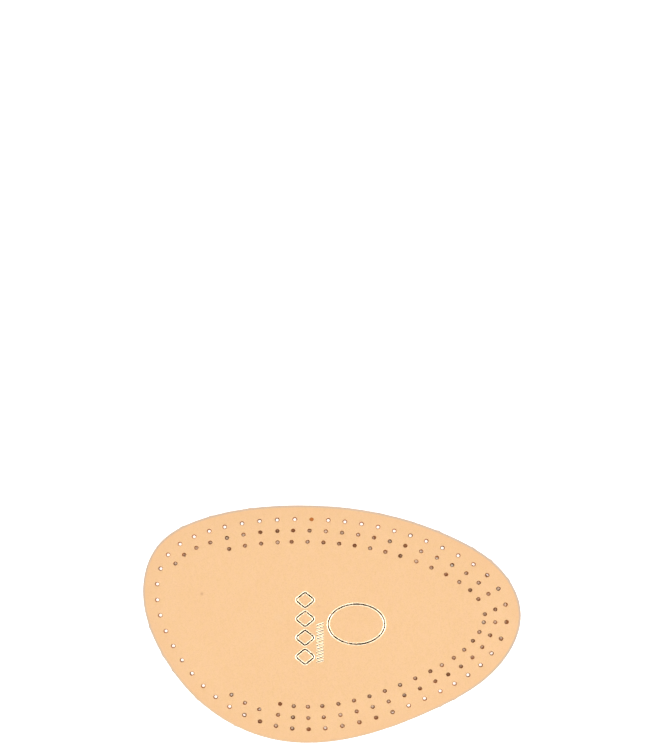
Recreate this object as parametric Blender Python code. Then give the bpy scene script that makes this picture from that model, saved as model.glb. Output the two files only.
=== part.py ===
"""Leather half insole for a left shoe, lying flat with its grain side up.

A die-cut leather cover, pierced by rows of round holes along its rim, lies over a foam pad. The pad
is thinned towards its edge, and the rim of the cover follows it down to the floor.

Units are metres and +Z is up. The toe edge faces -X, and the big-toe side faces +Y. The origin is on
the floor, at the middle of the insole's length and width.
"""

import bmesh
import bpy
import numpy as np
from mathutils import Matrix, Vector

MM = 0.001

# Whole insole
LENGTH = 134.0 * MM
WIDTH = 84.2 * MM

# Leather cover
LEATHER_THICKNESS = 1.2 * MM

# Foam pad
PAD_THICKNESS = 2.4 * MM
PAD_MARGIN = 6.0 * MM
PAD_GAP = 0.3 * MM

# Holes in the rim of the cover
HOLE_DIAMETER = 1.5 * MM
HOLE_SIDES = 8
EDGE_TO_FIRST_ROW = 4.8 * MM
ROW_SPACING = 4.0 * MM
RANK_PITCH = 6.0 * MM

# How much steeper the rim falls at its edge than on average
RIM_EASE = 1.4

# Fineness of the outlines
OUTLINE_CORNERS = 84
SAMPLES_PER_CORNER = 15
STEPS_PER_STATION = 60

# How far a cutter reaches past the faces that it cuts
CUTTER_REACH = 1.0 * MM

# Stations on the edge of the cover, clockwise seen from above, from the big-toe corner.
# along: share of LENGTH from the toe edge. across: share of WIDTH from the little-toe side.
# margin: share of PAD_MARGIN between the edge of the cover and the edge of the pad.
OUTLINE = (
    # along, across, margin
    (0.038, 0.828, 1.00),
    (0.167, 0.948, 1.00),
    (0.393, 0.999, 1.00),
    (0.577, 0.981, 1.00),
    (0.829, 0.859, 1.00),
    (0.968, 0.691, 0.90),
    (1.001, 0.544, 0.50),
    (0.942, 0.323, 0.90),
    (0.779, 0.148, 0.98),
    (0.586, 0.034, 0.62),
    (0.364, 0.011, 0.55),
    (0.177, 0.141, 1.02),
    (0.074, 0.316, 1.05),
    (0.003, 0.691, 1.05),
)

# Stretches of the rim, clockwise from the same corner.
# end: share of the first row's length at which the stretch ends. rows: holes in each rank.
# lean: clockwise slip of each row against the row outside it, as a share of RANK_PITCH.
STRETCHES = (
    # stretch, end, rows, lean
    ("big_toe_corner", 0.072, 2, -0.14),
    ("big_toe_side", 0.151, 3, -0.02),
    ("inner_ball", 0.301, 3, -0.10),
    ("inner_waist", 0.419, 3, -0.06),
    ("arch_end", 0.478, 3, 0.11),
    ("outer_waist", 0.550, 3, 0.05),
    ("outer_side", 0.686, 3, 0.00),
    ("outer_ball", 0.760, 3, 0.02),
    ("little_toe", 0.817, 2, 0.28),
    ("lower_toe_edge", 0.929, 1, 0.00),
    ("upper_toe_edge", 1.000, 1, 0.00),
)

# Linear base colour and roughness of each piece
LEATHER_COLOUR = (0.940, 0.610, 0.330)
LEATHER_ROUGHNESS = 0.55
PAD_COLOUR = (0.500, 0.340, 0.250)
PAD_ROUGHNESS = 0.90


def clear_scene():
    for item in list(bpy.data.objects):
        bpy.data.objects.remove(item, do_unlink=True)


def make_material(name, colour, roughness):
    material = bpy.data.materials.new(name)
    material.use_nodes = True
    shader = material.node_tree.nodes["Principled BSDF"]
    shader.inputs["Base Color"].default_value = (*colour, 1.0)
    shader.inputs["Roughness"].default_value = roughness
    shader.inputs["Metallic"].default_value = 0.0
    return material


def rim_section():
    """Inset and height of the cover's underside where the rim bends, from the edge inwards.

    The bends lie on the lanes between the rows of holes, the last one inside the last row.
    """
    row_count = max(rows for _, _, rows, _ in STRETCHES)
    lanes = [EDGE_TO_FIRST_ROW + (lane - 0.5) * ROW_SPACING for lane in range(row_count + 1)]
    lift = PAD_THICKNESS + PAD_GAP
    return [(0.0, 0.0)] + [(lane, lift * (1.0 - (1.0 - lane / lanes[-1]) ** RIM_EASE)) for lane in lanes]


def closed_spline(stations):
    """Dense points of the periodic cubic spline through the stations, over chord length."""
    here = np.array(stations)
    after = np.roll(here, -1, axis=0)
    chords = np.linalg.norm((after - here)[:, :2], axis=1)
    slopes = (after - here) / chords[:, None]
    count = len(here)
    balance = np.zeros((count, count))
    for station in range(count):
        balance[station, station - 1] = chords[station - 1]
        balance[station, station] = 2.0 * (chords[station - 1] + chords[station])
        balance[station, (station + 1) % count] = chords[station]
    bends = np.linalg.solve(balance, 6.0 * (slopes - np.roll(slopes, 1, axis=0)))
    bends_after = np.roll(bends, -1, axis=0)
    points = []
    for station in range(count):
        pull = chords[station] ** 2 / 6.0
        for step in range(STEPS_PER_STATION):
            t = step / STEPS_PER_STATION
            s = 1.0 - t
            chord_point = s * here[station] + t * after[station]
            sag = (s ** 3 - s) * bends[station] + (t ** 3 - t) * bends_after[station]
            points.append(chord_point + pull * sag)
    return np.array(points)


def distances_along(curve):
    """Length of the closed curve up to each of its points, and at the end its whole length."""
    steps = np.linalg.norm(np.roll(curve, -1, axis=0) - curve, axis=1)
    return np.concatenate(([0.0], np.cumsum(steps)))


def read_along(values, distances, places):
    """Values of a closed curve at the given distances along it."""
    closed = np.vstack((values, values[:1]))
    return np.column_stack([np.interp(places, distances, column) for column in closed.T])


def cover_edge():
    """Edge of the cover, evenly sampled: points, inward normals and the pad's margin there."""
    stations = [(along * LENGTH, across * WIDTH, margin) for along, across, margin in OUTLINE]
    dense = closed_spline(stations)
    distances = distances_along(dense[:, :2])
    sample_count = OUTLINE_CORNERS * SAMPLES_PER_CORNER
    places = np.linspace(0.0, distances[-1], sample_count, endpoint=False)
    samples = read_along(dense, distances, places)
    points = samples[:, :2]
    corners = points[::SAMPLES_PER_CORNER]
    low = corners.min(axis=0)
    span = corners.max(axis=0) - low
    points = ((points - low) / span - 0.5) * np.array((LENGTH, WIDTH))
    travel = np.roll(points, -1, axis=0) - np.roll(points, 1, axis=0)
    travel /= np.linalg.norm(travel, axis=1)[:, None]
    inward = np.column_stack((travel[:, 1], -travel[:, 0]))
    return points, inward, samples[:, 2]


def rows_on_slope():
    """Height of the grain surface and slope of the leather at each row of holes."""
    section = rim_section()[1:]
    rows = []
    for (inset, height), (next_inset, next_height) in zip(section, section[1:]):
        slope = (next_height - height) / (next_inset - inset)
        rows.append(((height + next_height) / 2.0 + LEATHER_THICKNESS, slope))
    return rows


def hole_places(edge, inward):
    """Mouth of each hole on the grain surface, turned square to the leather, rank by rank."""
    row = edge + inward * EDGE_TO_FIRST_ROW
    distances = distances_along(row)
    row_length = distances[-1]
    slope_rows = rows_on_slope()
    hole_matrices = []
    start = 0.0
    for _, end, rows, lean in STRETCHES:
        stretch = end * row_length - start
        rank_count = max(1, round(stretch / RANK_PITCH))
        places = start + stretch / rank_count * np.arange(rank_count)
        feet = read_along(row, distances, places)
        normals = read_along(inward, distances, places)
        for foot, normal in zip(feet, normals):
            forward = np.array((-normal[1], normal[0]))
            step = normal * ROW_SPACING + forward * lean * RANK_PITCH
            for depth, (height, slope) in enumerate(slope_rows[:rows]):
                mouth = Vector((*(foot + step * depth), height))
                axis = Vector((*(-normal * slope), 1.0))
                turn = axis.to_track_quat("Z", "Y").to_matrix().to_4x4()
                hole_matrices.append(Matrix.Translation(mouth) @ turn)
        start = end * row_length
    return hole_matrices


def flat_sheet(bm, corners, height):
    """One flat face inside the corners, which run clockwise, so it faces down."""
    sheet = bm.faces.new([bm.verts.new((x, y, height)) for x, y in corners])
    sheet.normal_update()
    return sheet


def domed_sheet(bm, corners, drop):
    """Underside of the cover, lowered by drop: sloping lanes round a flat middle."""
    middle = flat_sheet(bm, corners, -drop)
    section = rim_section()
    for (inset, height), (next_inset, next_height) in zip(section, section[1:]):
        bmesh.ops.inset_region(
            bm,
            faces=[middle],
            thickness=next_inset - inset,
            depth=height - next_height,
            use_boundary=True,
            use_even_offset=True,
        )


def thicken(bm):
    """Close the sheet into a solid with a copy of it, and return the copy's vertices."""
    grown = bmesh.ops.extrude_face_region(bm, geom=bm.faces[:])
    return [item for item in grown["geom"] if isinstance(item, bmesh.types.BMVert)]


def make_object(name, bm, material=None):
    bmesh.ops.recalc_face_normals(bm, faces=bm.faces[:])
    mesh = bpy.data.meshes.new(name)
    bm.to_mesh(mesh)
    bm.free()
    item = bpy.data.objects.new(name, mesh)
    bpy.context.scene.collection.objects.link(item)
    if material:
        mesh.materials.append(material)
    return item


def make_cutter(name, bm):
    cutter = make_object(name, bm)
    cutter.hide_render = True
    cutter.display_type = "WIRE"
    return cutter


def add_boolean(item, cutter, operation):
    modifier = item.modifiers.new(cutter.name, "BOOLEAN")
    modifier.operation = operation
    modifier.solver = "EXACT"
    modifier.object = cutter


def make_punch(places):
    """One straight punch for every hole, reaching past both faces of the leather."""
    bm = bmesh.new()
    for place in places:
        bmesh.ops.create_cone(
            bm,
            cap_ends=True,
            segments=HOLE_SIDES,
            radius1=HOLE_DIAMETER / 2.0,
            radius2=HOLE_DIAMETER / 2.0,
            depth=2.0 * (LEATHER_THICKNESS + CUTTER_REACH),
            matrix=place,
        )
    return make_cutter("punch", bm)


def make_cover(corners, places):
    bm = bmesh.new()
    domed_sheet(bm, corners, 0.0)
    bmesh.ops.translate(bm, verts=thicken(bm), vec=(0.0, 0.0, LEATHER_THICKNESS))
    leather = make_material("leather", LEATHER_COLOUR, LEATHER_ROUGHNESS)
    cover = make_object("leather_cover", bm, leather)
    add_boolean(cover, make_punch(places), "DIFFERENCE")
    return cover


def make_pad_outline(pad_corners):
    """Upright block that stands on the floor inside the pad's own edge."""
    bm = bmesh.new()
    flat_sheet(bm, pad_corners, 0.0)
    bmesh.ops.translate(bm, verts=thicken(bm), vec=(0.0, 0.0, PAD_THICKNESS + CUTTER_REACH))
    return make_cutter("pad_outline", bm)


def make_pad(corners, pad_corners):
    """The pad fills the space under the cover, less the gap, inside its own outline."""
    bm = bmesh.new()
    domed_sheet(bm, corners, PAD_GAP)
    for vert in thicken(bm):
        vert.co.z = -CUTTER_REACH
    foam = make_material("foam", PAD_COLOUR, PAD_ROUGHNESS)
    pad = make_object("foam_pad", bm, foam)
    add_boolean(pad, make_pad_outline(pad_corners), "INTERSECT")
    return pad


def main():
    clear_scene()
    edge, inward, margins = cover_edge()
    pad_edge = edge + inward * margins[:, None] * PAD_MARGIN
    corners = edge[::SAMPLES_PER_CORNER]
    pad_corners = pad_edge[::SAMPLES_PER_CORNER]
    make_cover(corners, hole_places(edge, inward))
    make_pad(corners, pad_corners)


main()
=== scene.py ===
"""Looks of the leather half insole: a punched and foil-stamped leather cover on a latex pad."""

import math

import bmesh
import bpy
import numpy as np
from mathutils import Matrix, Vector, kdtree, noise


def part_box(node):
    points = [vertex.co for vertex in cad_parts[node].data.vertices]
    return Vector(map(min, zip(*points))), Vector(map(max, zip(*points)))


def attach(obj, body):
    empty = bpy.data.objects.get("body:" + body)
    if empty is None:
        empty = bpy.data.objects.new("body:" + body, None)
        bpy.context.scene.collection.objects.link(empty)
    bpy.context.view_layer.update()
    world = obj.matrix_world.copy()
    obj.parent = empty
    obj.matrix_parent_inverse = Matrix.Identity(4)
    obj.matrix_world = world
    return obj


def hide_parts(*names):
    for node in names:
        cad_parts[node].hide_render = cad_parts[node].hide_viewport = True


MM = 0.001


def srgb(red, green, blue):
    """Linear colour of a colour given as it looks on screen, 0 to 255."""
    shares = (channel / 255.0 for channel in (red, green, blue))
    return tuple(s / 12.92 if s <= 0.04045 else ((s + 0.055) / 1.055) ** 2.4 for s in shares)


# How the CAD's meshes are read
WELD_DISTANCE = 0.002 * MM
FLOOR_BAND = 0.01 * MM
UPRIGHT = 0.5

# Section of the cover. An ease over 1 makes the rim's slope steeper towards its edge.
LEATHER_THICKNESS = 1.2 * MM
RIM_WIDTH = 14.8 * MM
RIM_EASE = 1.4
EDGE_ROUNDING = 0.16 * MM
FLESH_ROUNDING = 0.10 * MM
GLUE_LINE = 0.05 * MM
CUT_EDGE = (
    # inset, share of the leather's thickness, from the flesh side up
    (FLESH_ROUNDING, 0.0),
    (0.3 * FLESH_ROUNDING, 0.03),
    (0.0, 0.10),
    (-0.01 * MM, 0.35),
    (0.02 * MM, 0.60),
    (0.0, 0.86),
    (0.25 * EDGE_ROUNDING, 0.94),
    (0.6 * EDGE_ROUNDING, 0.985),
    (EDGE_ROUNDING, 1.0),
)

# The knife's line, and how far in from the edge it is felt
KNIFE_WANDER = 0.035 * MM
KNIFE_OUTSIDE = 0.12 * MM
KNIFE_WAVELENGTH = 5.0 * MM
KNIFE_NICK = 0.06 * MM
NICK_WAVELENGTH = 1.1 * MM
NICK_LAYER = 0.31
KNIFE_REACH = 0.8 * MM
BURR_HEIGHT = 0.20 * MM
BURR_WIDTH = 0.55 * MM
BURR_PLACES = (
    # where the knife turned, as places in the picture
    (438.3, 531.3), (472.7, 548.3), (491.0, 560.0), (508.7, 578.5), (455.1, 699.4),
    (440.6, 705.8), (250.0, 508.4), (210.3, 516.6), (182.0, 528.0), (163.6, 654.3),
    (149.4, 626.7), (172.8, 670.3), (196.5, 698.6), (234.8, 725.4),
)

# Holes. They lean a share of the way to square with the slope, and a plug left in one makes it blind
# at a share of the punch's length.
HOLE_TOP_RADIUS = 0.76 * MM
HOLE_BOTTOM_RADIUS = 0.49 * MM
HOLE_LEAN = 0.55
HOLE_STRETCH = (1.03, 0.95, 1.0)
OUTER_ROW_REACH = 7.0 * MM
INNER_ROW_SIZE = 0.93
HOLE_SIDES = 24
PLUG_LEFT_AT = (310.6, 518.4)
PLUG_DEPTH = 0.17

# Fineness
POINTS_PER_CORNER = 8
SEARCH_POINTS_PER_CORNER = 24
RIM_RINGS = 15
MIDDLE_RINGS = 6

# Angle in degrees past which two faces meet in a crease
COVER_CREASE = 34.0
FOIL_CREASE = 13.0
PAD_CREASE = 50.0

# Pressed foil. A core is the flat share of a groove's width.
STROKE_WIDTH = 1.09 * MM
STROKE_DEPTH = 0.080 * MM
STROKE_CORE = 0.48
FINE_STROKE_WIDTH = 0.82 * MM
FINE_STROKE_DEPTH = 0.065 * MM
FINE_STROKE_CORE = 0.37
DIE_SPARE = 0.02 * MM
DIE_MOUTH = 0.008 * MM
DIE_TOP = 0.3 * MM
FOIL_THICKNESS = 0.008 * MM
FOIL_CLEARANCE = 0.003 * MM
FOIL_SHARE = 0.93
LOZENGE_WIDTH = 7.0 * MM
LOZENGE_HEIGHT = 5.6 * MM
LOZENGE_CORNER = 0.8 * STROKE_WIDTH
LOZENGE_CORNER_POINTS = 6
LOZENGE_COUNT = 4
LOZENGE_PITCH = 6.7 * MM
LOZENGE_START = (304.6, 599.5)
BAR_LENGTH = 2.5 * MM
BAR_SLANT = 0.8 * MM
BAR_COUNT = 12
BAR_PITCH = 1.18 * MM
BAR_START = (319.6, 624.0)
CARTOUCHE_WIDTH = 20.0 * MM
CARTOUCHE_HEIGHT = 14.2 * MM
CARTOUCHE_CENTRE = (356.0, 623.6)
CARTOUCHE_POINTS = 96

# What each face of the cover is
FINISHES = ("Grain", "Flesh", "Cut edge", "Punched wall", "Pressed groove")
GRAIN, FLESH, CUT, PUNCHED, PRESSED = range(5)

# Latex pad
PAD_BULGE_AT = (483.0, 571.0)
PAD_BULGE_HEIGHT = 1.25 * MM
PAD_BULGE_WIDTH = 7.8 * MM
PAD_ROUNDING = 0.22 * MM
PAD_RIM = 8.8 * MM
PAD_RINGS = 14
PAD_EDGE = (
    # inset as a share of the rounding, share of the pad's height there
    (0.25, 0.06),
    (0.00, 0.20),
    (-0.10, 0.50),
    (0.00, 0.80),
    (0.25, 0.94),
)

# How far in from the edge the leather has painted shade, and the band of painted shade along the edge, and
# where each is full
RIM_SHADE_REACH = 7.0 * MM
RIM_SHADE_FULL = 0.3 * MM
EDGE_SHADE_REACH = 0.85 * MM
EDGE_SHADE_FULL = 0.20 * MM

# Colours
LEATHER_PALE = srgb(243, 198, 147)
LEATHER_DEEP = srgb(241, 194, 142)
LEATHER_WARM = srgb(241, 192, 139)
LEATHER_ROSY = srgb(243, 197, 150)
LEATHER_OCHRE = srgb(241, 196, 141)
LEATHER_PORE = srgb(196, 142, 92)
# Painted shade: the leather is darker towards the rim.
LEATHER_RIM_SHADE = srgb(239, 191, 142)
# Painted shade: a greyer band along the cut edge.
LEATHER_EDGE_SHADE = srgb(203, 179, 163)
LEATHER_PRESSED = srgb(214, 168, 118)
FLESH_DEEP = srgb(186, 146, 108)
FLESH_PALE = srgb(226, 196, 160)
EDGE_DEEP = srgb(208, 190, 173)
EDGE_PALE = srgb(240, 228, 213)
# Painted shade: the hole walls are coloured dark brown for the shade inside the holes, darker in some
# holes.
PUNCHED_DEEP = srgb(166, 100, 56)
PUNCHED_PALE = srgb(212, 148, 92)
PUNCHED_DARK = srgb(112, 60, 30)
PLUG_FRESH = srgb(198, 118, 52)
FOIL_PALE = srgb(246, 230, 205)
FOIL_DEEP = srgb(234, 209, 174)
# Painted reflection: the flat cores of the foil are coloured a deeper gold for the dark ceiling they
# mirror.
FOIL_CORE_SHADE = srgb(216, 156, 76)
FOAM_DEEP = srgb(172, 124, 86)
FOAM_PALE = srgb(254, 234, 206)
FOAM_CELL = srgb(160, 108, 78)
FOAM_PAINTED_GLINT = srgb(255, 246, 228)

FOAM_GLINTS = (
    # holes with a painted glint on the foam below, as places in the picture
    (246.3, 702.2), (260.5, 708.1), (228.8, 694.5), (324.8, 728.5), (357.3, 534.5),
    (422.0, 550.9), (438.0, 558.1), (452.7, 566.1), (464.5, 649.0), (403.4, 694.5),
)
LEATHER_MARKS = (
    # place in the picture, radius in mm, softness, colour, weight
    ((201.3, 593.2), 0.85, 0.5, (206, 148, 112), 0.75),
    ((250.0, 717.0), 3.20, 0.9, (238, 182, 126), 0.40),
    ((324.0, 510.0), 0.50, 0.6, (220, 160, 104), 0.50),
    ((375.0, 572.0), 0.45, 0.6, (222, 168, 112), 0.45),
    ((278.0, 618.0), 4.20, 0.9, (238, 198, 156), 0.35),
    ((255.0, 637.0), 3.60, 0.9, (238, 198, 158), 0.35),
)

# Picture in pixels, and the camera: its height and reach in metres, its sensor in millimetres
PICTURE_WIDTH = 663
PICTURE_HEIGHT = 750
PIXELS_PER_MM = 2.8187
OBJECT_CENTRE_X = 331.45
OBJECT_CENTRE_Y = 623.8
CAMERA_HEIGHT = 4.0
CAMERA_REACH = 10.0
SENSOR = 36.0

# Studio, in metres and watts. On the sky's unit sphere it is dark above one height and bright below
# another.
WHITE = (1.0, 1.0, 1.0, 1.0)
FLOOR_PAINT = (0.9, 0.9, 0.9, 1.0)
FLOOR_SIZE = 6.0
FLOOR_DROP = 0.02 * MM
FLOOR_GLOW = 0.8
BOX_COUNT = 8
BOX_SIZE = 0.40
BOX_DISTANCE = 1.2
BOX_TILT = math.radians(28.0)
BOX_POWER = 1.855
BOX_CONTRAST = 0.15
BRIGHT_SIDE = math.radians(-45.0)
SIDEWAYS_CONTRAST = 0.45
CEILING_DARK = 0.97
CEILING_LIGHT = 0.30
CEILING_GLOW = 0.01
SIDE_GLOW = 0.45

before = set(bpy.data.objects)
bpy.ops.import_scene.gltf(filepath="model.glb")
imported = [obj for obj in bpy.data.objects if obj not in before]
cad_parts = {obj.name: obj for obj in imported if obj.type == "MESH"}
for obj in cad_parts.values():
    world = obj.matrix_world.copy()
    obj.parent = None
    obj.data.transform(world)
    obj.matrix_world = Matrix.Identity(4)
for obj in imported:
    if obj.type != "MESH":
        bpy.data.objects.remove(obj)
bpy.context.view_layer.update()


# Small helpers

def new_object(name, data, *materials):
    item = bpy.data.objects.new(name, data)
    bpy.context.scene.collection.objects.link(item)
    for material in materials:
        data.materials.append(material)
    return item


def mesh_of(bm, name):
    """A plain mesh of a closed bmesh, with its faces turned outwards."""
    bmesh.ops.recalc_face_normals(bm, faces=bm.faces[:])
    mesh = bpy.data.meshes.new(name)
    bm.to_mesh(mesh)
    bm.free()
    return mesh


# What the frame says about the cover and the pad

def merged(node):
    """A welded copy of a CAD node's mesh."""
    bm = bmesh.new()
    bm.from_mesh(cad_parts[node].data)
    bmesh.ops.remove_doubles(bm, verts=bm.verts[:], dist=WELD_DISTANCE)
    bm.normal_update()
    return bm


def upright_walls(bm):
    """Groups of joined upright faces: the outer edge and the wall of each hole."""
    upright = [face for face in bm.faces if abs(face.normal.z) < UPRIGHT]
    waiting = set(upright)
    walls = []
    for first in upright:
        if first not in waiting:
            continue
        waiting.remove(first)
        wall = [first]
        for face in wall:
            for edge in face.edges:
                beside = [other for other in edge.link_faces if other in waiting]
                waiting.difference_update(beside)
                wall.extend(beside)
        walls.append(wall)
    return walls


def wall_points(wall):
    verts = {vert for face in wall for vert in face.verts}
    return np.array([vert.co[:] for vert in verts])


def read_outline(points):
    """Floor corners of an outer wall in order, anticlockwise, as x and y."""
    low = points[points[:, 2] < points[:, 2].min() + FLOOR_BAND][:, :2]
    turn = np.arctan2(low[:, 1], low[:, 0])
    return low[np.argsort(turn)]


def read_cover():
    """Outline of the cover, and the mouth and direction of each hole, from the CAD cover."""
    bm = merged("leather_cover")
    walls = [wall_points(wall) for wall in upright_walls(bm)]
    bm.free()
    walls.sort(key=lambda points: np.ptp(points[:, 0]))
    mouths = []
    axes = []
    for points in walls[:-1]:
        upper = points[:, 2] > points[:, 2].mean()
        mouth = (points[upper].max(axis=0) + points[upper].min(axis=0)) / 2.0
        foot = (points[~upper].max(axis=0) + points[~upper].min(axis=0)) / 2.0
        mouths.append(mouth)
        axes.append((mouth - foot) / np.linalg.norm(mouth - foot))
    return read_outline(walls[-1]), np.array(mouths), np.array(axes)


def read_pad():
    bm = merged("foam_pad")
    walls = [wall_points(wall) for wall in upright_walls(bm)]
    bm.free()
    return read_outline(max(walls, key=len))


def smooth_loop(corners, per_corner):
    """Closed smooth curve through the corners."""
    before = np.roll(corners, 1, axis=0)
    after = np.roll(corners, -1, axis=0)
    beyond = np.roll(corners, -2, axis=0)
    pieces = []
    for t in np.arange(per_corner) / per_corner:
        pieces.append(
            corners
            + 0.5 * t * (after - before)
            + 0.5 * t ** 2 * (2.0 * before - 5.0 * corners + 4.0 * after - beyond)
            + 0.5 * t ** 3 * (3.0 * corners - before - 3.0 * after + beyond)
        )
    return np.stack(pieces, axis=1).reshape(-1, 2)


def inward_normals(loop):
    travel = np.roll(loop, -1, axis=0) - np.roll(loop, 1, axis=0)
    travel /= np.linalg.norm(travel, axis=1)[:, None]
    return np.column_stack((-travel[:, 1], travel[:, 0]))


cover_corners, hole_mouths, hole_axes = read_cover()
pad_corners = read_pad()
cover_loop = smooth_loop(cover_corners, POINTS_PER_CORNER)
pad_loop = smooth_loop(pad_corners, POINTS_PER_CORNER)
cover_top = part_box("leather_cover")[1].z
cover_lift = cover_top - LEATHER_THICKNESS


def rim_height(inset):
    """Height of the cover's underside at a distance from its edge."""
    share = np.clip(np.asarray(inset) / RIM_WIDTH, 0.0, 1.0)
    return cover_lift * (1.0 - (1.0 - share) ** RIM_EASE)


def make_edge_finder():
    """Search tree of close points along the cover's edge."""
    close_loop = smooth_loop(cover_corners, SEARCH_POINTS_PER_CORNER)
    finder = kdtree.KDTree(len(close_loop))
    for number, (x, y) in enumerate(close_loop):
        finder.insert((x, y, 0.0), number)
    finder.balance()
    return finder


edge_finder = make_edge_finder()


def edge_distance(points):
    """Distance of each point from the cover's edge, seen from above."""
    return np.array([edge_finder.find((point[0], point[1], 0.0))[2] for point in points])


def from_picture(x, y):
    """Place on the object of the centre of a pixel of the photograph's frame, in metres."""
    return (
        (x - OBJECT_CENTRE_X) / PIXELS_PER_MM * MM,
        (OBJECT_CENTRE_Y - y) / PIXELS_PER_MM * MM,
    )


def distances_to(place, points):
    """Distance of each point from a place in the picture, seen from above."""
    return np.linalg.norm(points[:, :2] - np.array(from_picture(*place)), axis=1)


# Sheets with a rounded edge, built ring by ring

def knife_line(loop, inward):
    """The outline as the knife really ran: a slow wander, small nicks and a burr at each turn."""
    shifts = []
    for x, y in loop:
        slow = noise.noise(Vector((x, y, 0.0)) / KNIFE_WAVELENGTH)
        fast = noise.noise(Vector((x, y, NICK_LAYER)) / NICK_WAVELENGTH)
        shifts.append(KNIFE_WANDER * slow + KNIFE_NICK * max(0.0, fast) - KNIFE_OUTSIDE)
    shifts = np.array(shifts)
    for place in BURR_PLACES:
        gap = distances_to(place, loop)
        shifts -= BURR_HEIGHT * np.exp(-((gap - gap.min()) / BURR_WIDTH) ** 2)
    return loop + inward * shifts[:, None]


def bridge_rings(bm, rings):
    """Quads between each two neighbouring rings of vertices."""
    faces = []
    count = len(rings[0])
    for ring, next_ring in zip(rings, rings[1:]):
        for k in range(count):
            after = (k + 1) % count
            faces.append(bm.faces.new((ring[k], ring[after], next_ring[after], next_ring[k])))
    return faces


def ring_at(bm, loop, heights):
    return [bm.verts.new((x, y, z)) for (x, y), z in zip(loop, heights)]


def close_ring(bm, ring, height, shrink_steps):
    """Fill a ring with smaller rings of the same shape and a last small face."""
    middle = sum((vert.co for vert in ring), Vector()) / len(ring)
    rings = [ring]
    for step in range(1, shrink_steps + 1):
        share = 1.0 - step / (shrink_steps + 1)
        rings.append([
            bm.verts.new((
                middle.x + (vert.co.x - middle.x) * share,
                middle.y + (vert.co.y - middle.y) * share,
                height,
            ))
            for vert in ring
        ])
    faces = bridge_rings(bm, rings)
    faces.append(bm.faces.new(rings[-1]))
    return faces


def make_cover_blank():
    """The leather before punching: flesh side, cut edge and grain side in one closed body."""
    inward = inward_normals(cover_loop)
    cut_line = knife_line(cover_loop, inward)
    insets = RIM_WIDTH * np.linspace(0.0, 1.0, RIM_RINGS + 1)
    bm = bmesh.new()
    finish = bm.faces.layers.int.new("finish")

    def rings_of(section):
        rings = []
        for inset, share in section:
            height = float(rim_height(inset)) + share * LEATHER_THICKNESS
            fade = math.exp(-max(inset, 0.0) / KNIFE_REACH)
            line = cover_loop + (cut_line - cover_loop) * fade + inward * inset
            rings.append(ring_at(bm, line, [height] * len(line)))
        return rings

    under_rings = rings_of((inset, 0.0) for inset in insets[:0:-1])
    edge_rings = rings_of(CUT_EDGE)
    over_rings = rings_of((inset, 1.0) for inset in insets[1:])
    flesh = close_ring(bm, under_rings[0], cover_lift, MIDDLE_RINGS)
    flesh += bridge_rings(bm, under_rings + edge_rings[:1])
    cut = bridge_rings(bm, edge_rings)
    grain = bridge_rings(bm, edge_rings[-1:] + over_rings)
    grain += close_ring(bm, over_rings[-1], cover_top, MIDDLE_RINGS)
    for kind, faces in ((GRAIN, grain), (FLESH, flesh), (CUT, cut)):
        for face in faces:
            face[finish] = kind
    return mesh_of(bm, "cover_blank")


def make_punch():
    """Punch for one hole, pointing down from the grain surface at its origin, with a soft shoulder."""
    profile = (
        # radius, height, finish of the band below
        (HOLE_TOP_RADIUS + 0.30 * MM, 1.000 * MM, GRAIN),
        (HOLE_TOP_RADIUS + 0.30 * MM, 0.240 * MM, GRAIN),
        (HOLE_TOP_RADIUS + 0.08 * MM, -0.010 * MM, GRAIN),
        (HOLE_TOP_RADIUS + 0.01 * MM, -0.090 * MM, PUNCHED),
        (HOLE_TOP_RADIUS - 0.03 * MM, -0.300 * MM, PUNCHED),
        (HOLE_BOTTOM_RADIUS, -LEATHER_THICKNESS, PUNCHED),
        (HOLE_BOTTOM_RADIUS, -2.0 * LEATHER_THICKNESS, PUNCHED),
    )
    bm = bmesh.new()
    finish = bm.faces.layers.int.new("finish")
    turns = [2.0 * math.pi * k / HOLE_SIDES for k in range(HOLE_SIDES)]
    rings = []
    for radius, height, _ in profile:
        circle = [(radius * math.cos(turn), radius * math.sin(turn)) for turn in turns]
        rings.append(ring_at(bm, circle, [height] * HOLE_SIDES))
    for ring, next_ring, (_, _, kind) in zip(rings, rings[1:], profile):
        for face in bridge_rings(bm, (ring, next_ring)):
            face[finish] = kind
    for ring in (rings[0], rings[-1]):
        bm.faces.new(ring)[finish] = PUNCHED
    return new_object("punch", mesh_of(bm, "punch"))


def make_hole_marks():
    """A vertex at each hole's mouth on the grain surface, with its direction and its size."""
    heights = rim_height(edge_distance(hole_mouths)) + LEATHER_THICKNESS
    places = np.column_stack((hole_mouths[:, :2], heights))
    sizes = np.tile(HOLE_STRETCH, (len(places), 1))
    sizes[edge_distance(hole_mouths) > OUTER_ROW_REACH, :2] *= INNER_ROW_SIZE
    sizes[distances_to(PLUG_LEFT_AT, hole_mouths).argmin(), 2] = PLUG_DEPTH
    mesh = bpy.data.meshes.new("hole_marks")
    mesh.from_pydata(places.tolist(), [], [])
    axis = mesh.attributes.new("hole_axis", "FLOAT_VECTOR", "POINT")
    axis.data.foreach_set("vector", hole_axes.ravel())
    size = mesh.attributes.new("hole_size", "FLOAT_VECTOR", "POINT")
    size.data.foreach_set("vector", sizes.ravel())
    return new_object("hole_marks", mesh)


# Node trees

def add_node(tree, kind, inputs=None, **settings):
    """A node with its settings made and its inputs linked or set, found by name or number."""
    node = tree.nodes.new(kind)
    for name, value in settings.items():
        setattr(node, name, value)
    for key, value in (inputs or {}).items():
        if isinstance(value, bpy.types.NodeSocket):
            tree.links.new(value, node.inputs[key])
        else:
            node.inputs[key].default_value = value
    return node


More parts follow.
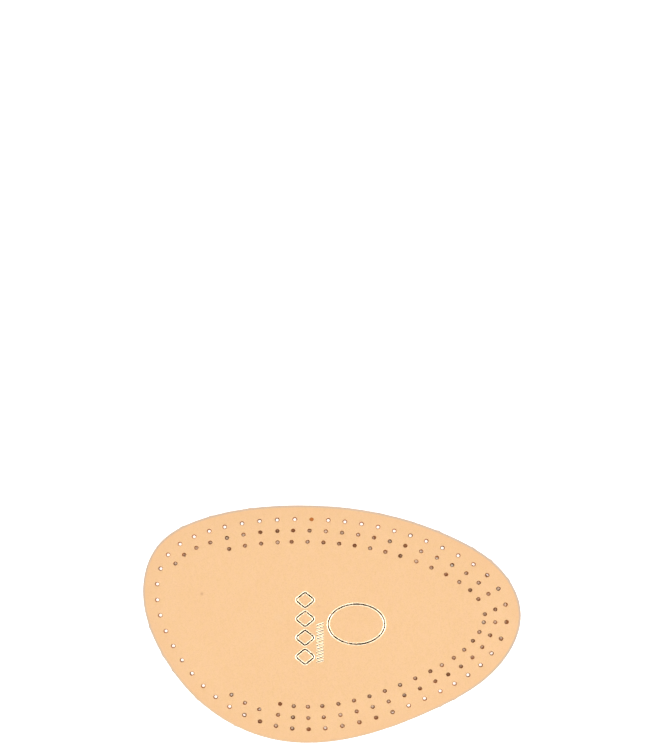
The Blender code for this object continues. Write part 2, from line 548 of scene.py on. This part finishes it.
def new_tree(name, inputs):
    """A geometry tree with named inputs: the tree, its input node's sockets and its last node."""
    tree = bpy.data.node_groups.new(name, "GeometryNodeTree")
    for label, kind in inputs:
        tree.interface.new_socket(name=label, in_out="INPUT", socket_type=kind)
    tree.interface.new_socket(name="Result", in_out="OUTPUT", socket_type="NodeSocketGeometry")
    given = tree.nodes.new("NodeGroupInput").outputs
    return tree, given, tree.nodes.new("NodeGroupOutput")


def freeze(item):
    """Keep what an object's modifiers make as its plain mesh."""
    view_layer = bpy.context.view_layer
    view_layer.update()
    result = bpy.data.meshes.new_from_object(item.evaluated_get(view_layer.depsgraph))
    item.modifiers.clear()
    item.data = result


def grow(item, tree, values):
    """Run a tree on an object and keep its result as a plain mesh."""
    modifier = item.modifiers.new(tree.name, "NODES")
    modifier.node_group = tree
    for socket in tree.interface.items_tree:
        if socket.in_out == "INPUT" and socket.name in values:
            modifier[socket.identifier] = values[socket.name]
    freeze(item)
    drop_empty_slots(item.data)
    return item


def drop_empty_slots(mesh):
    """Keep only the material slots that hold a material, and point each face at its own."""
    worn = [mesh.materials[face.material_index] for face in mesh.polygons]
    kept = [material for material in mesh.materials if material]
    mesh.materials.clear()
    for material in kept:
        mesh.materials.append(material)
    mesh.polygons.foreach_set("material_index", [kept.index(material) for material in worn])


def punching_tree():
    """Takes the punch out of the blank at every mark, and the dies once, and finishes each face."""
    tree, given, result = new_tree("punched_cover", (
        ("Blank", "NodeSocketGeometry"),
        ("Marks", "NodeSocketObject"),
        ("Punch", "NodeSocketObject"),
        ("Dies", "NodeSocketObject"),
    ) + tuple((label, "NodeSocketMaterial") for label in FINISHES))
    marks = add_node(tree, "GeometryNodeObjectInfo", {"Object": given["Marks"]})
    punch = add_node(tree, "GeometryNodeObjectInfo", {"Object": given["Punch"]})
    dies = add_node(tree, "GeometryNodeObjectInfo", {"Object": given["Dies"]})
    axis = add_node(
        tree, "GeometryNodeInputNamedAttribute", {"Name": "hole_axis"}, data_type="FLOAT_VECTOR")
    size = add_node(
        tree, "GeometryNodeInputNamedAttribute", {"Name": "hole_size"}, data_type="FLOAT_VECTOR")
    turned = add_node(
        tree, "FunctionNodeAlignRotationToVector",
        {"Vector": axis.outputs["Attribute"], "Factor": HOLE_LEAN}, axis="Z")
    placed = add_node(tree, "GeometryNodeInstanceOnPoints", {
        "Points": marks.outputs["Geometry"],
        "Instance": punch.outputs["Geometry"],
        "Rotation": turned.outputs["Rotation"],
        "Scale": size.outputs["Attribute"],
    })
    punches = add_node(tree, "GeometryNodeRealizeInstances", {"Geometry": placed.outputs["Instances"]})
    cut = add_node(tree, "GeometryNodeMeshBoolean", {
        "Mesh 1": given["Blank"],
        "Mesh 2": punches.outputs["Geometry"],
    }, operation="DIFFERENCE", solver="EXACT")
    tree.links.new(dies.outputs["Geometry"], cut.inputs["Mesh 2"])
    joined = add_node(tree, "GeometryNodeRealizeInstances", {"Geometry": cut.outputs["Mesh"]})
    finish = add_node(tree, "GeometryNodeInputNamedAttribute", {"Name": "finish"}, data_type="INT")
    last = joined.outputs["Geometry"]
    for kind, label in enumerate(FINISHES):
        chosen = add_node(tree, "FunctionNodeCompare", data_type="INT", operation="EQUAL")
        tree.links.new(finish.outputs["Attribute"], chosen.inputs[2])
        chosen.inputs[3].default_value = kind
        named = add_node(tree, "GeometryNodeSetMaterial", {
            "Geometry": last,
            "Selection": chosen.outputs["Result"],
            "Material": given[label],
        })
        last = named.outputs["Geometry"]
    tree.links.new(last, result.inputs["Result"])
    return tree


# Pressed ornament: a column of lozenges, a border of fine slanting bars and an oval cartouche

def pressed_lines_tree():
    """Sweeps a section along the ornament's lines, for the dies and for the foil alike."""
    tree, given, result = new_tree("pressed_lines", (
        ("Section", "NodeSocketObject"),
        ("Fine section", "NodeSocketObject"),
        ("Lozenge width", "NodeSocketFloat"),
        ("Lozenge half height", "NodeSocketFloat"),
        ("Lozenge count", "NodeSocketInt"),
        ("Lozenge start", "NodeSocketVector"),
        ("Lozenge step", "NodeSocketVector"),
        ("Corner radius", "NodeSocketFloat"),
        ("Bar start", "NodeSocketVector"),
        ("Bar step", "NodeSocketVector"),
        ("Bar count", "NodeSocketInt"),
        ("Bar end", "NodeSocketVector"),
        ("Bar other end", "NodeSocketVector"),
        ("Cartouche centre", "NodeSocketVector"),
        ("Cartouche half size", "NodeSocketVector"),
        ("Finish", "NodeSocketInt"),
        ("Material", "NodeSocketMaterial"),
    ))

    def spread(line, count, start, step):
        """Copies of a line in a row."""
        points = add_node(tree, "GeometryNodeMeshLine", {
            "Count": given[count],
            "Start Location": given[start],
            "Offset": given[step],
        })
        placed = add_node(tree, "GeometryNodeInstanceOnPoints", {
            "Points": points.outputs["Mesh"],
            "Instance": line.outputs["Curve"],
        })
        return add_node(tree, "GeometryNodeRealizeInstances", {"Geometry": placed.outputs["Instances"]})

    def sweep(lines, section):
        """A section drawn along lines, with its top upwards."""
        upright = add_node(tree, "GeometryNodeSetCurveNormal", {"Curve": lines}, mode="Z_UP")
        shape = add_node(tree, "GeometryNodeObjectInfo", {"Object": given[section]})
        return add_node(tree, "GeometryNodeCurveToMesh", {
            "Curve": upright.outputs["Curve"],
            "Profile Curve": shape.outputs["Geometry"],
            "Fill Caps": True,
        })

    kite = add_node(tree, "GeometryNodeCurvePrimitiveQuadrilateral", {
        "Width": given["Lozenge width"],
        "Bottom Height": given["Lozenge half height"],
        "Top Height": given["Lozenge half height"],
    }, mode="KITE")
    column = spread(kite, "Lozenge count", "Lozenge start", "Lozenge step")
    eased = add_node(tree, "GeometryNodeFilletCurve", {
        "Curve": column.outputs["Geometry"],
        "Radius": given["Corner radius"],
    }, mode="POLY")
    eased.inputs["Count"].default_value = LOZENGE_CORNER_POINTS
    circle = add_node(tree, "GeometryNodeCurvePrimitiveCircle", {
        "Resolution": CARTOUCHE_POINTS,
        "Radius": 1.0,
    })
    oval = add_node(tree, "GeometryNodeTransform", {
        "Geometry": circle.outputs["Curve"],
        "Translation": given["Cartouche centre"],
        "Scale": given["Cartouche half size"],
    })
    bold = add_node(tree, "GeometryNodeJoinGeometry", {"Geometry": eased.outputs["Curve"]})
    tree.links.new(oval.outputs["Geometry"], bold.inputs["Geometry"])
    bar = add_node(tree, "GeometryNodeCurvePrimitiveLine", {
        "Start": given["Bar end"],
        "End": given["Bar other end"],
    })
    fine = spread(bar, "Bar count", "Bar start", "Bar step")
    swept = add_node(tree, "GeometryNodeJoinGeometry", {
        "Geometry": sweep(bold.outputs["Geometry"], "Section").outputs["Mesh"],
    })
    thin = sweep(fine.outputs["Geometry"], "Fine section")
    tree.links.new(thin.outputs["Mesh"], swept.inputs["Geometry"])
    marked = add_node(tree, "GeometryNodeStoreNamedAttribute", {
        "Geometry": swept.outputs["Geometry"],
        "Name": "finish",
    }, data_type="INT", domain="FACE")
    tree.links.new(given["Finish"], marked.inputs["Value"])
    joined = add_node(tree, "GeometryNodeRealizeInstances", {"Geometry": marked.outputs["Geometry"]})
    named = add_node(tree, "GeometryNodeSetMaterial", {
        "Geometry": joined.outputs["Geometry"],
        "Material": given["Material"],
    })
    tree.links.new(named.outputs["Geometry"], result.inputs["Result"])
    return tree


def section_curve(name, points):
    """Closed section as a curve in its own plane, for a sweep that puts its Y downwards."""
    data = bpy.data.curves.new(name, "CURVE")
    data.dimensions = "3D"
    spline = data.splines.new("POLY")
    spline.points.add(len(points) - 1)
    for point, (x, y) in zip(spline.points, reversed(points)):
        point.co = (x, -y, 0.0, 1.0)
    spline.use_cyclic_u = True
    return new_object(name, data)


def die_section(name, width, depth, core):
    """Section of a stamping die: a flat core, two sloping flanks and sides clear of the leather."""
    side = width / 2.0 + DIE_SPARE
    right = [(core * width / 2.0, -depth), (side, DIE_MOUTH), (side, DIE_TOP)]
    left = [(-x, y) for x, y in reversed(right)]
    return section_curve(name, left + right)


def foil_section(name, width, depth, core):
    """Section of the foil: a thin strip that lies in the groove."""
    edge = FOIL_SHARE * width / 2.0
    edge_depth = depth * (1.0 - FOIL_SHARE) / (1.0 - core)
    right = [(core * width / 2.0, -depth), (edge, -edge_depth)]
    floor = [(-x, y) for x, y in reversed(right)] + right
    under = [(x, y + FOIL_CLEARANCE) for x, y in floor]
    over = [(x, y + FOIL_CLEARANCE + FOIL_THICKNESS) for x, y in floor]
    return section_curve(name, under + over[::-1])


def press_lines(name, tree, main_section, fine_section, material):
    """One run of the ornament's tree, at the height of the grain surface."""
    def at(place):
        return (*from_picture(*place), cover_top)

    item = new_object(name, bpy.data.meshes.new(name))
    return grow(item, tree, {
        "Section": main_section,
        "Fine section": fine_section,
        "Lozenge width": LOZENGE_WIDTH,
        "Lozenge half height": LOZENGE_HEIGHT / 2.0,
        "Lozenge count": LOZENGE_COUNT,
        "Lozenge start": at(LOZENGE_START),
        "Lozenge step": (0.0, -LOZENGE_PITCH, 0.0),
        "Corner radius": LOZENGE_CORNER,
        "Bar start": at(BAR_START),
        "Bar step": (0.0, -BAR_PITCH, 0.0),
        "Bar count": BAR_COUNT,
        "Bar end": (-BAR_LENGTH / 2.0, -BAR_SLANT / 2.0, 0.0),
        "Bar other end": (BAR_LENGTH / 2.0, BAR_SLANT / 2.0, 0.0),
        "Cartouche centre": at(CARTOUCHE_CENTRE),
        "Cartouche half size": (CARTOUCHE_WIDTH / 2.0, CARTOUCHE_HEIGHT / 2.0, 1.0),
        "Finish": PRESSED,
        "Material": material,
    })


# The latex pad under the leather

def make_pad_mesh():
    """The pad: a flat floor side, a cut edge with its corners eased, and a top that follows the leather."""
    inward = inward_normals(pad_loop)
    gap = distances_to(PAD_BULGE_AT, pad_loop)
    bulge = PAD_BULGE_HEIGHT * np.exp(-((gap - gap.min()) / PAD_BULGE_WIDTH) ** 2)
    cut_line = pad_loop - inward * bulge[:, None]
    bm = bmesh.new()

    def top_height(line):
        return rim_height(edge_distance(line)) - GLUE_LINE

    floor_line = cut_line + inward * PAD_ROUNDING
    floor_ring = ring_at(bm, floor_line, [0.0] * len(cut_line))
    rings = [floor_ring]
    full = top_height(cut_line)
    for inset, share in PAD_EDGE:
        line = cut_line + inward * inset * PAD_ROUNDING
        rings.append(ring_at(bm, line, full * share))
    for inset in PAD_ROUNDING + PAD_RIM * np.linspace(0.0, 1.0, PAD_RINGS):
        line = cut_line + inward * inset
        rings.append(ring_at(bm, line, top_height(line)))
    bridge_rings(bm, rings)
    close_ring(bm, rings[-1], cover_lift - GLUE_LINE, MIDDLE_RINGS)
    close_ring(bm, floor_ring, 0.0, MIDDLE_RINGS)
    return mesh_of(bm, "insole_pad")


# Material helpers

def new_material(name, **settings):
    """A material with its shader, whose sockets are set by name with _ for a space."""
    material = bpy.data.materials.new(name)
    material.use_nodes = True
    tree = material.node_tree
    shader = tree.nodes["Principled BSDF"]
    for socket, value in settings.items():
        shader.inputs[socket.replace("_", " ")].default_value = value
    return material, tree, shader


def object_place(tree):
    return add_node(tree, "ShaderNodeTexCoord").outputs["Object"]


def stretched(tree, place, turn, scale):
    """Place turned about the vertical and squeezed, for a pattern with a direction."""
    return add_node(tree, "ShaderNodeMapping", {
        "Vector": place,
        "Rotation": (0.0, 0.0, turn),
        "Scale": scale,
    }).outputs["Vector"]


def cloud(tree, place, size, detail=2.0, roughness=0.5, twist=0.0):
    """Noise from 0 to 1 with forms of about the given size."""
    return add_node(tree, "ShaderNodeTexNoise", {
        "Vector": place,
        "Scale": 1.0 / size,
        "Detail": detail,
        "Roughness": roughness,
        "Distortion": twist,
    }).outputs["Fac"]


def cells(tree, place, size, feature="F1"):
    """Distance inside cells of about the given size, from 0."""
    return add_node(tree, "ShaderNodeTexVoronoi", {
        "Vector": place,
        "Scale": 1.0 / size,
    }, feature=feature).outputs["Distance"]


def span(tree, value, low, high, to_low=0.0, to_high=1.0):
    """Value mapped from one range to another and held within it."""
    return add_node(tree, "ShaderNodeMapRange", {
        "Value": value,
        "From Min": low,
        "From Max": high,
        "To Min": to_low,
        "To Max": to_high,
    }).outputs["Result"]


def maths(tree, operation, *values):
    return add_node(tree, "ShaderNodeMath", dict(enumerate(values)), operation=operation).outputs[0]


def tint(tree, share, first, second):
    """Colour between two colours, each given or made by nodes, and so is the share of the second."""
    mixer = add_node(tree, "ShaderNodeMix", data_type="RGBA")
    for number, value in ((0, share), (6, first), (7, second)):
        if isinstance(value, bpy.types.NodeSocket):
            tree.links.new(value, mixer.inputs[number])
        elif number:
            mixer.inputs[number].default_value = (*value, 1.0)
        else:
            mixer.inputs[number].default_value = value
    return mixer.outputs[2]


def relief(tree, shader, layers):
    """Bump layers on a shader, each a height, its depth in metres and its strength."""
    normal = None
    for height, depth, strength in layers:
        inputs = {"Height": height, "Distance": depth, "Strength": strength}
        if normal:
            inputs["Normal"] = normal
        normal = add_node(tree, "ShaderNodeBump", inputs).outputs["Normal"]
    tree.links.new(normal, shader.inputs["Normal"])


def dress(tree, shader, **sockets):
    """Links values to the shader's sockets, named with _ for a space."""
    for socket, value in sockets.items():
        tree.links.new(value, shader.inputs[socket.replace("_", " ")])


# Materials

def distance_from(tree, place, spot):
    """Distance seen from above from a spot given in the picture."""
    plan = add_node(tree, "ShaderNodeVectorMath", {0: place, 1: (1.0, 1.0, 0.0)}, operation="MULTIPLY")
    return add_node(tree, "ShaderNodeVectorMath", {
        0: plan.outputs["Vector"],
        1: (*from_picture(*spot), 0.0),
    }, operation="DISTANCE").outputs["Value"]


def near_mark(tree, place, spot, radius, softness):
    """1 at a mark on the leather, fading to 0 round it."""
    wobble = cloud(tree, place, radius, 3.0)
    reach = maths(tree, "MULTIPLY_ADD", wobble, -0.9 * radius, distance_from(tree, place, spot))
    return span(tree, reach, radius * (1.0 - softness), -0.45 * radius)


def grain_leather():
    """Natural tanned grain: even tan with faint clouds, pores and the marks of this piece, with painted
    shade towards the rim and a band of painted shade along the edge, stronger towards +Y and +X.
    """
    material, tree, shader = new_material("grain_leather", Specular_IOR_Level=0.38, Coat_Weight=0.04)
    place = object_place(tree)
    clouds = cloud(tree, place, 11.0 * MM, 4.0, 0.55, 0.4)
    colour = tint(tree, span(tree, clouds, 0.3, 0.7), LEATHER_DEEP, LEATHER_PALE)
    blotches = cloud(tree, place, 2.4 * MM, 3.0, 0.6)
    colour = tint(tree, span(tree, blotches, 0.35, 0.75, 0.0, 0.35), colour, LEATHER_WARM)
    mottles = cloud(tree, stretched(tree, place, 0.7, (1.0, 0.6, 1.0)), 1.1 * MM, 3.0, 0.6)
    mottled = tint(tree, span(tree, mottles, 0.40, 0.60), LEATHER_ROSY, LEATHER_OCHRE)
    colour = tint(tree, 0.45, colour, mottled)
    speckles = cloud(tree, place, 0.34 * MM, 2.0, 0.6)
    colour = tint(tree, span(tree, speckles, 0.45, 0.75, 0.0, 0.22), colour, LEATHER_PORE)
    follicles = cells(tree, place, 0.42 * MM)
    groups = span(tree, cloud(tree, place, 3.5 * MM, 2.0), 0.40, 0.62)
    pores = maths(tree, "MULTIPLY", span(tree, follicles, 0.17, 0.05), groups)
    colour = tint(tree, maths(tree, "MULTIPLY", pores, 0.35), colour, LEATHER_PORE)
    for spot, radius, softness, shade, weight in LEATHER_MARKS:
        near = near_mark(tree, place, spot, radius * MM, softness)
        colour = tint(tree, maths(tree, "MULTIPLY", near, weight), colour, srgb(*shade))
    rim = add_node(tree, "ShaderNodeAttribute", attribute_name="edge_distance").outputs["Fac"]
    # Painted shade: darker towards the edge, over the rim's slope.
    rim_shade = span(tree, rim, RIM_SHADE_REACH, RIM_SHADE_FULL, 0.0, 0.30)
    colour = tint(tree, rim_shade, colour, LEATHER_RIM_SHADE)
    # Painted shade along the edge, stronger towards +Y and +X of the piece.
    sides = add_node(tree, "ShaderNodeSeparateXYZ", {"Vector": place}).outputs
    shade_to_top = span(tree, sides["Y"], -38.0 * MM, -10.0 * MM, 0.22, 0.78)
    shade_to_right = span(tree, sides["X"], 10.0 * MM, 45.0 * MM, 1.0, 1.22)
    edge_shade = maths(tree, "MULTIPLY", shade_to_top, shade_to_right)
    edge_shade = maths(tree, "MULTIPLY", edge_shade, span(tree, rim, EDGE_SHADE_REACH, EDGE_SHADE_FULL))
    colour = tint(tree, edge_shade, colour, LEATHER_EDGE_SHADE)
    worn = cloud(tree, place, 6.0 * MM, 3.0)
    dress(tree, shader, Base_Color=colour, Roughness=span(tree, worn, 0.3, 0.7, 0.50, 0.60))
    pebbles = cells(tree, stretched(tree, place, 0.2, (1.0, 0.8, 1.0)), 0.30 * MM, "SMOOTH_F1")
    relief(tree, shader, (
        (cloud(tree, place, 5.0 * MM, 3.0), 0.050 * MM, 0.45),
        (cloud(tree, place, 0.75 * MM, 3.0, 0.6), 0.022 * MM, 0.50),
        (pebbles, 0.018 * MM, 0.70),
        (pores, -0.030 * MM, 0.60),
    ))
    return material


def flesh_leather():
    """Suede flesh side: pale short nap with darker strokes."""
    material, tree, shader = new_material(
        "flesh_leather", Roughness=0.95, Specular_IOR_Level=0.15, Sheen_Weight=0.35, Sheen_Roughness=0.6)
    place = object_place(tree)
    nap = cloud(tree, stretched(tree, place, 0.35, (1.0, 0.3, 1.0)), 0.30 * MM, 5.0, 0.7, 0.6)
    patches = cloud(tree, place, 7.0 * MM, 3.0, 0.6)
    colour = tint(tree, span(tree, nap, 0.3, 0.7), FLESH_DEEP, FLESH_PALE)
    colour = tint(tree, span(tree, patches, 0.35, 0.7, 0.0, 0.4), colour, LEATHER_WARM)
    dress(tree, shader, Base_Color=colour)
    relief(tree, shader, (
        (patches, 0.10 * MM, 0.4),
        (nap, 0.08 * MM, 0.8),
    ))
    return material


def cut_leather():
    """Knife-cut edge: packed fibres in layers, greyish tan."""
    material, tree, shader = new_material("cut_leather", Roughness=0.82, Specular_IOR_Level=0.2)
    place = object_place(tree)
    layers = cloud(tree, stretched(tree, place, 0.0, (1.0, 1.0, 4.0)), 0.35 * MM, 4.0, 0.65, 0.5)
    fibres = cloud(tree, place, 0.12 * MM, 3.0, 0.7)
    colour = tint(tree, span(tree, layers, 0.3, 0.7), EDGE_DEEP, EDGE_PALE)
    colour = tint(tree, span(tree, fibres, 0.5, 0.8, 0.0, 0.5), colour, FLESH_PALE)
    dress(tree, shader, Base_Color=colour)
    relief(tree, shader, (
        (layers, 0.05 * MM, 0.7),
        (fibres, 0.03 * MM, 0.6),
    ))
    return material


def punched_leather():
    """Wall of a punched hole: pressed fibres, coloured dark brown as painted shade inside the hole, darker
    in some holes.
    """
    material, tree, shader = new_material("punched_leather", Roughness=0.7, Specular_IOR_Level=0.3)
    place = object_place(tree)
    fibres = cloud(tree, place, 0.16 * MM, 4.0, 0.7)
    # Painted shade: darker walls in some holes.
    holes = cloud(tree, place, 4.0 * MM, 1.0)
    colour = tint(tree, span(tree, fibres, 0.3, 0.7), PUNCHED_DEEP, PUNCHED_PALE)
    colour = tint(tree, span(tree, holes, 0.42, 0.62, 0.0, 0.7), colour, PUNCHED_DARK)
    plug = span(tree, distance_from(tree, place, PLUG_LEFT_AT), 1.8 * MM, 1.4 * MM, 0.0, 0.85)
    colour = tint(tree, plug, colour, PLUG_FRESH)
    dress(tree, shader, Base_Color=colour)
    relief(tree, shader, ((fibres, 0.04 * MM, 0.7),))
    return material


def pressed_leather():
    """Leather pressed down by the stamp, seen as a thin line round the foil."""
    material, tree, shader = new_material("pressed_leather", Roughness=0.42, Specular_IOR_Level=0.45)
    place = object_place(tree)
    clouds = cloud(tree, place, 0.5 * MM, 3.0)
    colour = tint(tree, span(tree, clouds, 0.3, 0.7), LEATHER_PALE, LEATHER_PRESSED)
    dress(tree, shader, Base_Color=colour)
    relief(tree, shader, ((clouds, 0.01 * MM, 0.4),))
    return material


def gold_foil():
    """Thin pale gold foil: smoother in the core of a stroke, where its colour is a deeper gold as a painted
    dark reflection, rubbed through in places.
    """
    material, tree, shader = new_material("gold_foil", Metallic=1.0)
    place = object_place(tree)
    rubbed = cloud(tree, place, 0.9 * MM, 4.0, 0.65)
    wear = span(tree, rubbed, 0.60, 0.66)
    crinkle = cloud(tree, place, 0.22 * MM, 3.0, 0.6)
    tarnish = span(tree, cloud(tree, place, 1.8 * MM, 3.0), 0.35, 0.65)
    colour = tint(tree, tarnish, FOIL_PALE, FOIL_DEEP)
    facing = add_node(tree, "ShaderNodeNewGeometry").outputs["True Normal"]
    upright = add_node(tree, "ShaderNodeSeparateXYZ", {"Vector": facing}).outputs["Z"]
    core = span(tree, upright, 0.975, 0.990)
    # The flat, upward-facing core is smoother, and its deeper gold colour is a painted dark reflection.
    pressed = maths(tree, "MULTIPLY", core, span(tree, cloud(tree, place, 0.7 * MM, 2.0), 0.36, 0.48))
    colour = tint(tree, pressed, colour, FOIL_CORE_SHADE)
    colour = tint(tree, wear, colour, LEATHER_PALE)
    rough = span(tree, crinkle, 0.3, 0.7, 0.20, 0.34)
    rough = maths(tree, "MULTIPLY", rough, span(tree, pressed, 0.0, 1.0, 1.0, 0.50))
    rough = maths(tree, "MAXIMUM", rough, maths(tree, "MULTIPLY", wear, 0.6))
    dress(tree, shader, Base_Color=colour, Roughness=rough, Metallic=span(tree, wear, 1.0, 0.0))
    relief(tree, shader, ((crinkle, 0.008 * MM, 0.4),))
    return material


def latex_foam():
    """Fine-celled latex foam: soiled brown under the holes, with a few painted glints, and clean below."""
    material, tree, shader = new_material("latex_foam", Roughness=0.9, Specular_IOR_Level=0.2)
    place = object_place(tree)
    bubbles = cells(tree, place, 0.34 * MM)
    small = cells(tree, place, 0.15 * MM)
    patches = cloud(tree, place, 3.2 * MM, 2.0)
    shadows = cloud(tree, place, 14.0 * MM, 4.0)
    soiled = tint(tree, span(tree, patches, 0.40, 0.60), FOAM_DEEP, FOAM_PALE)
    clean = tint(tree, span(tree, shadows, 0.3, 0.7, 0.35, 0.60), FOAM_DEEP, FOAM_PALE)
    # Painted glints on the foam under a few holes.
    glint = span(tree, cloud(tree, place, 0.9 * MM, 1.0), 0.42, 0.48)
    for spot in FOAM_GLINTS:
        near = span(tree, distance_from(tree, place, spot), 1.4 * MM, 0.8 * MM)
        soiled = tint(tree, maths(tree, "MULTIPLY", near, glint), soiled, FOAM_PAINTED_GLINT)
    height = add_node(tree, "ShaderNodeSeparateXYZ", {"Vector": place}).outputs["Z"]
    colour = tint(tree, span(tree, height, 0.2 * MM, 0.6 * MM), clean, soiled)
    colour = tint(tree, span(tree, bubbles, 0.22, 0.06, 0.0, 0.7), colour, FOAM_CELL)
    dress(tree, shader, Base_Color=colour)
    relief(tree, shader, (
        (bubbles, 0.12 * MM, 0.7),
        (small, 0.05 * MM, 0.6),
    ))
    return material


grain = grain_leather()
flesh = flesh_leather()
cut_edge = cut_leather()
punched_wall = punched_leather()
pressed_groove = pressed_leather()
foil_finish = gold_foil()
foam = latex_foam()


# Building the piece

def smooth(item, crease):
    """Smooth shading with creases, and normals that keep the large faces flat."""
    item.data.shade_smooth()
    item.data.set_sharp_from_angle(angle=math.radians(crease))
    weighted = item.modifiers.new("even_normals", "WEIGHTED_NORMAL")
    weighted.keep_sharp = True
    freeze(item)


def make_cover():
    """The punched and stamped leather cover, and the foil in its grooves."""
    lines = pressed_lines_tree()
    dies = press_lines(
        "dies", lines,
        die_section("die", STROKE_WIDTH, STROKE_DEPTH, STROKE_CORE),
        die_section("fine_die", FINE_STROKE_WIDTH, FINE_STROKE_DEPTH, FINE_STROKE_CORE),
        pressed_groove)
    foil = press_lines(
        "foil_ornament", lines,
        foil_section("foil", STROKE_WIDTH, STROKE_DEPTH, STROKE_CORE),
        foil_section("fine_foil", FINE_STROKE_WIDTH, FINE_STROKE_DEPTH, FINE_STROKE_CORE),
        foil_finish)
    cover = new_object("insole_cover", make_cover_blank())
    marks = make_hole_marks()
    punch = make_punch()
    values = {"Marks": marks, "Punch": punch, "Dies": dies}
    values.update(zip(FINISHES, (grain, flesh, cut_edge, punched_wall, pressed_groove)))
    grow(cover, punching_tree(), values)
    smooth(cover, COVER_CREASE)
    smooth(foil, FOIL_CREASE)
    distance = cover.data.attributes.new("edge_distance", "FLOAT", "POINT")
    places = [vert.co for vert in cover.data.vertices]
    distance.data.foreach_set("value", edge_distance(places))
    return cover, foil


def remove_tools():
    """Remove the marks, the punch, the dies and the sections, which have done their work."""
    for name in ("dies", "hole_marks", "punch", "die", "fine_die", "foil", "fine_foil"):
        bpy.data.objects.remove(bpy.data.objects[name])


cover, foil = make_cover()
remove_tools()
pad = new_object("insole_pad", make_pad_mesh(), foam)
smooth(pad, PAD_CREASE)


# Floor, light and camera

def make_floor():
    """A wide white floor that gives a little light of its own."""
    mesh = bpy.data.meshes.new("floor")
    half = FLOOR_SIZE / 2.0
    corners = [(-half, -half, 0.0), (half, -half, 0.0), (half, half, 0.0), (-half, half, 0.0)]
    mesh.from_pydata(corners, [], [(0, 1, 2, 3)])
    material, _, _ = new_material(
        "white_floor", Base_Color=FLOOR_PAINT, Roughness=0.9, Specular_IOR_Level=0.0,
        Emission_Color=WHITE, Emission_Strength=FLOOR_GLOW)
    item = new_object("floor", mesh, material)
    item.location.z = -FLOOR_DROP


def make_lights():
    """A ring of soft boxes round the camera's axis."""
    for number in range(BOX_COUNT):
        turn = 2.0 * math.pi * (number + 0.5) / BOX_COUNT
        light = bpy.data.lights.new("soft_box", "AREA")
        light.shape = "SQUARE"
        light.size = BOX_SIZE
        side = BOX_CONTRAST * math.cos(turn - BRIGHT_SIDE)
        light.energy = BOX_POWER * (1.0 + side + SIDEWAYS_CONTRAST * math.cos(2.0 * turn))
        item = bpy.data.objects.new("soft_box", light)
        bpy.context.scene.collection.objects.link(item)
        aside = math.sin(BOX_TILT)
        away = Vector((aside * math.cos(turn), aside * math.sin(turn), math.cos(BOX_TILT)))
        item.location = away * BOX_DISTANCE
        item.rotation_euler = away.to_track_quat("Z", "Y").to_euler()
        item.visible_camera = False


def make_world():
    """Soft light from the sides, and a dark ceiling for the foil to mirror."""
    world = bpy.data.worlds.new("studio")
    bpy.context.scene.world = world
    world.use_nodes = True
    tree = world.node_tree
    sky = tree.nodes["Background"]
    sky.inputs["Color"].default_value = WHITE
    way = add_node(tree, "ShaderNodeTexCoord").outputs["Generated"]
    parts = add_node(tree, "ShaderNodeSeparateXYZ", {"Vector": way})
    strength = span(tree, parts.outputs["Z"], CEILING_DARK, CEILING_LIGHT, CEILING_GLOW, SIDE_GLOW)
    tree.links.new(strength, sky.inputs["Strength"])


def make_camera():
    """Straight down on the piece, which lies low in the picture."""
    camera = bpy.data.cameras.new("camera")
    camera.sensor_width = SENSOR
    camera.lens = SENSOR * CAMERA_HEIGHT / (PICTURE_HEIGHT / PIXELS_PER_MM * MM)
    camera.clip_end = CAMERA_REACH
    item = bpy.data.objects.new("camera", camera)
    bpy.context.scene.collection.objects.link(item)
    x, y = from_picture((PICTURE_WIDTH - 1) / 2.0, (PICTURE_HEIGHT - 1) / 2.0)
    item.location = (x, y, CAMERA_HEIGHT + cover_top)
    bpy.context.scene.camera = item


make_floor()
make_lights()
make_world()
make_camera()
bpy.context.scene.view_settings.view_transform = "Standard"


# Each piece rides the frame's root body, in place of the CAD's own meshes


for piece in (cover, pad, foil):
    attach(piece, "root")
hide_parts("leather_cover")
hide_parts("foam_pad")
